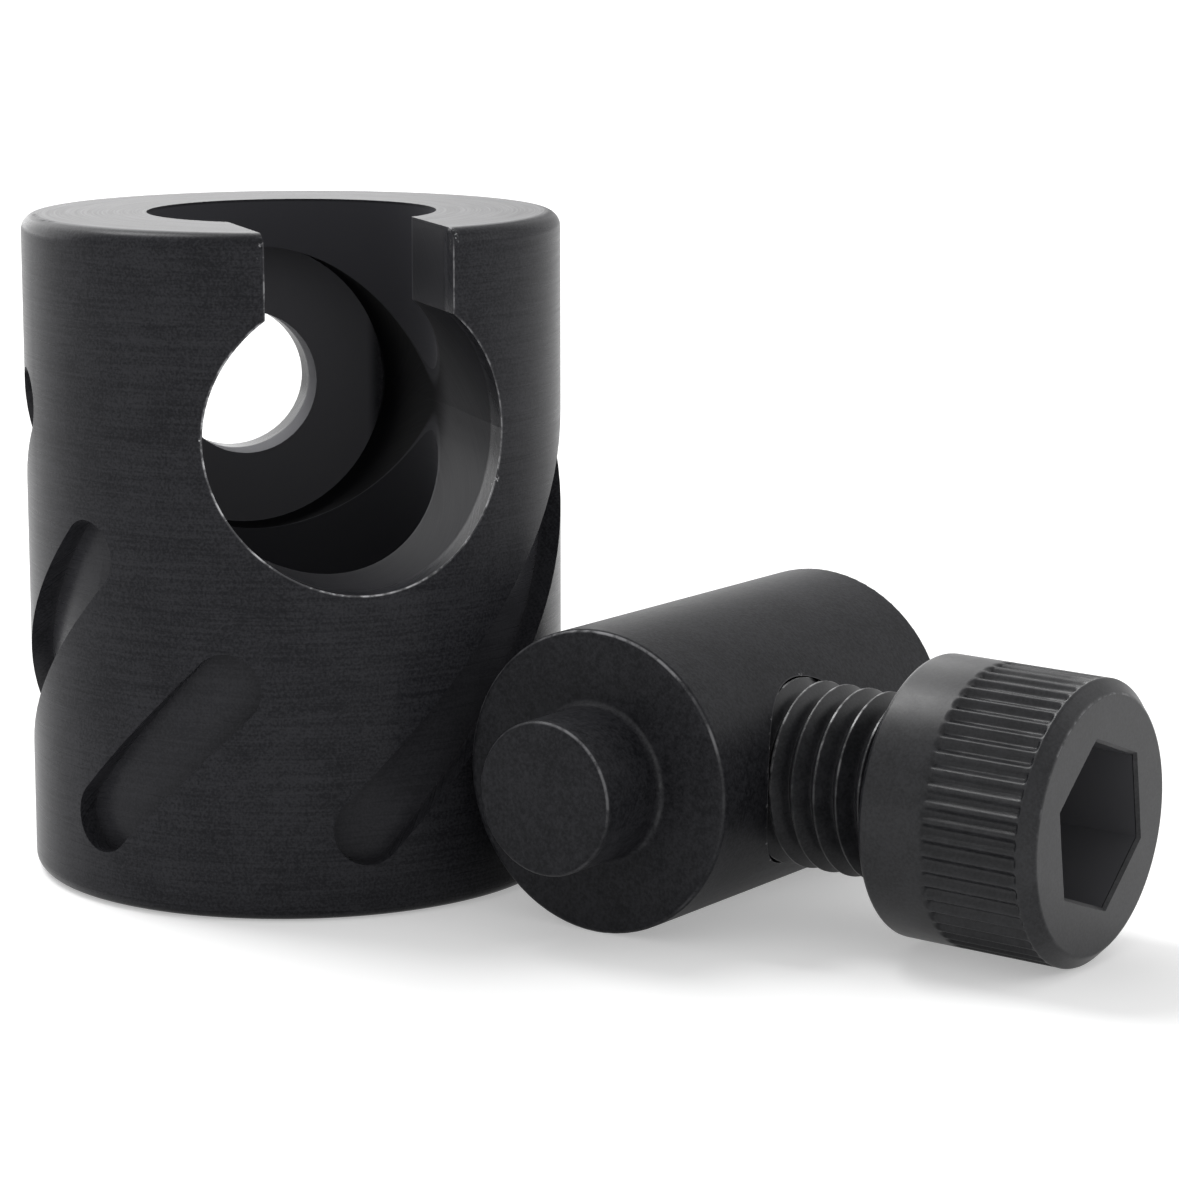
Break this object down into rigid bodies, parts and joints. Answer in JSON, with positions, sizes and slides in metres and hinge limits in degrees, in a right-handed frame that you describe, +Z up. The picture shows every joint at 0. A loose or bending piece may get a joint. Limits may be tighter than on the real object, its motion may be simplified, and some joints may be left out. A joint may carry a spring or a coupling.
{
  "type": "cross-barrel coupling",
  "caption": "Fluted steel hub with a keyhole side bore, a cross barrel that locks into it and a knurled hex-socket cap screw, shown taken apart.",
  "frame": {"origin": "centre of the hub's base, on the surface that the pieces stand and lie on", "axes": "+Z up along the hub's axis; the keyhole faces -Y"},
  "size_m": [0.0421, 0.0436, 0.0291],
  "materials": {
    "turned_black_steel": "black oxide over fine turning marks, satin, with bare bright edges at the keyhole",
    "blasted_black_steel": "black oxide over a fine blasted surface, satin",
    "screw_black_oxide": "black oxide, oiled, with bright worn thread crests"
  },
  "bodies": {
    "hub": {"fluted_hub": "turned_black_steel"},
    "barrel": {"cross_barrel": "blasted_black_steel"},
    "screw": {"cap_screw": "screw_black_oxide"}
  },
  "joints": [
    {"name": "barrel_slide", "type": "slide", "parent": "hub", "child": "barrel", "axis": [-0.809, -0.5878, 0], "range_m": [0, 0.0202]},
    {"name": "screw_run", "type": "slide", "parent": "barrel", "child": "screw", "axis": [-0.5876, 0.8088, 0.0254], "range_m": [-0.0045, 0.0053]}
  ]
}
